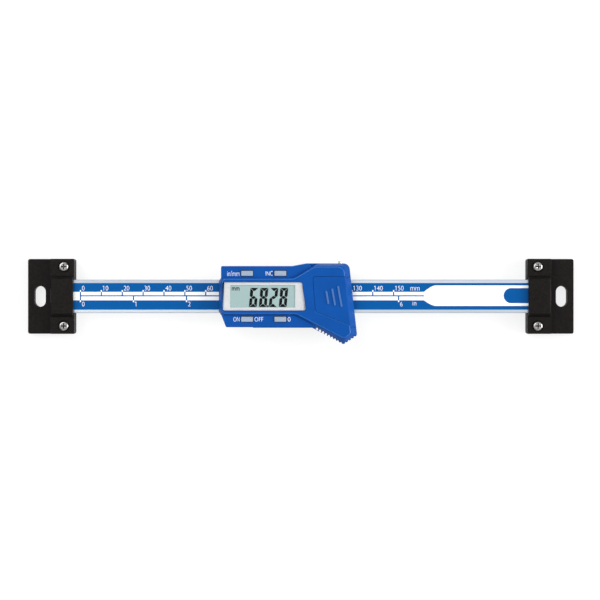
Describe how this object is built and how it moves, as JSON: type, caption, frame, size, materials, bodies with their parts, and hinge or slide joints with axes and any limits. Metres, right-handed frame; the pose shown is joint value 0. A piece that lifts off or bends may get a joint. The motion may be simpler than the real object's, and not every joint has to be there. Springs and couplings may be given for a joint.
{
  "type": "digital linear scale",
  "caption": "Digital linear scale: a graduated steel beam between slotted end brackets, with a sliding display unit that has push keys, a sliding battery cover and a lock screw.",
  "frame": {"origin": "centre of the left bracket's slot, on the mounting plane that both brackets' backs lie on", "axes": "+X along the beam towards rising readings, +Y across the beam towards the lock screw, +Z out of the display's face"},
  "size_m": [0.2627, 0.0407, 0.0179],
  "materials": {
    "beam_steel": "satin ground",
    "strip_laminate": "bare laminate",
    "label_print": "printed film, satin",
    "bracket_black": "fine moulded grain",
    "screw_steel": "bright plated",
    "housing_blue": "satin moulded",
    "window_clear": "polished",
    "bezel_white": "smooth",
    "lcd_grey": "polariser film",
    "strip_rubber": "soft",
    "board_green": "solder mask",
    "chip_black": "moulded",
    "dome_steel": "pressed",
    "cell_steel": "nickel plated",
    "contact_steel": "spring tempered",
    "frame_black": "moulded",
    "plate_grey": "dark oxide",
    "slide_brass": "machined",
    "key_grey": "satin painted"
  },
  "bodies": {
    "rail": {"beam": "beam_steel", "scale_strip": "strip_laminate", "scale_label": "label_print", "left_bracket": "bracket_black", "left_clamp": "bracket_black", "left_clamp_screws": "screw_steel", "right_bracket": "bracket_black", "right_clamp": "bracket_black", "right_clamp_screws": "screw_steel"},
    "slider": {"front_housing": "housing_blue", "display_window": "window_clear", "display_frame": "bezel_white", "lcd_panel": "lcd_grey", "zebra_strips": "strip_rubber", "circuit_board": "board_green", "controller_chip": "chip_black", "switch_domes": "dome_steel", "battery": "cell_steel", "battery_spring": "contact_steel", "battery_clip": "contact_steel", "slider_frame": "frame_black", "back_plate": "plate_grey", "back_plate_screws": "screw_steel", "housing_screws": "screw_steel", "gib": "slide_brass", "gib_spring": "contact_steel"},
    "battery_cover": {"battery_cover": "housing_blue"},
    "lock_pad": {"lock_pad": "slide_brass"},
    "lock_screw": {"lock_screw": "screw_steel"},
    "units_key": {"units_key": "key_grey"},
    "mode_key": {"mode_key": "key_grey"},
    "power_key": {"power_key": "key_grey"},
    "zero_key": {"zero_key": "key_grey"}
  },
  "joints": [
    {"name": "slider_travel", "type": "slide", "parent": "rail", "child": "slider", "axis": [1, 0, 0], "range_m": [-0.0695, 0.0817]},
    {"name": "battery_cover_slide", "type": "slide", "parent": "slider", "child": "battery_cover", "axis": [1, 0, 0], "range_m": [0, 0.022]},
    {"name": "lock_pad_feed", "type": "slide", "parent": "slider", "child": "lock_pad", "axis": [0, -1, 0], "range_m": [-0.0002, 0.0001]},
    {"name": "lock_screw_turn", "type": "hinge", "parent": "lock_pad", "child": "lock_screw", "pos_m": [0.14443, 0.0169, 0.007], "axis": [0, -1, 0], "range_deg": [-180.5, 90.5]},
    {"name": "units_press", "type": "slide", "parent": "slider", "child": "units_key", "axis": [0, 0, -1], "range_m": [0, 0.0004], "stiffness_N_per_m": 800},
    {"name": "mode_press", "type": "slide", "parent": "slider", "child": "mode_key", "axis": [0, 0, -1], "range_m": [0, 0.0004], "stiffness_N_per_m": 800},
    {"name": "power_press", "type": "slide", "parent": "slider", "child": "power_key", "axis": [0, 0, -1], "range_m": [0, 0.0004], "stiffness_N_per_m": 800},
    {"name": "zero_press", "type": "slide", "parent": "slider", "child": "zero_key", "axis": [0, 0, -1], "range_m": [0, 0.0004], "stiffness_N_per_m": 800}
  ],
  "couplings": [
    {"joint": "lock_screw_turn", "follows": "lock_pad_feed", "rad_per_m": 15708}
  ]
}
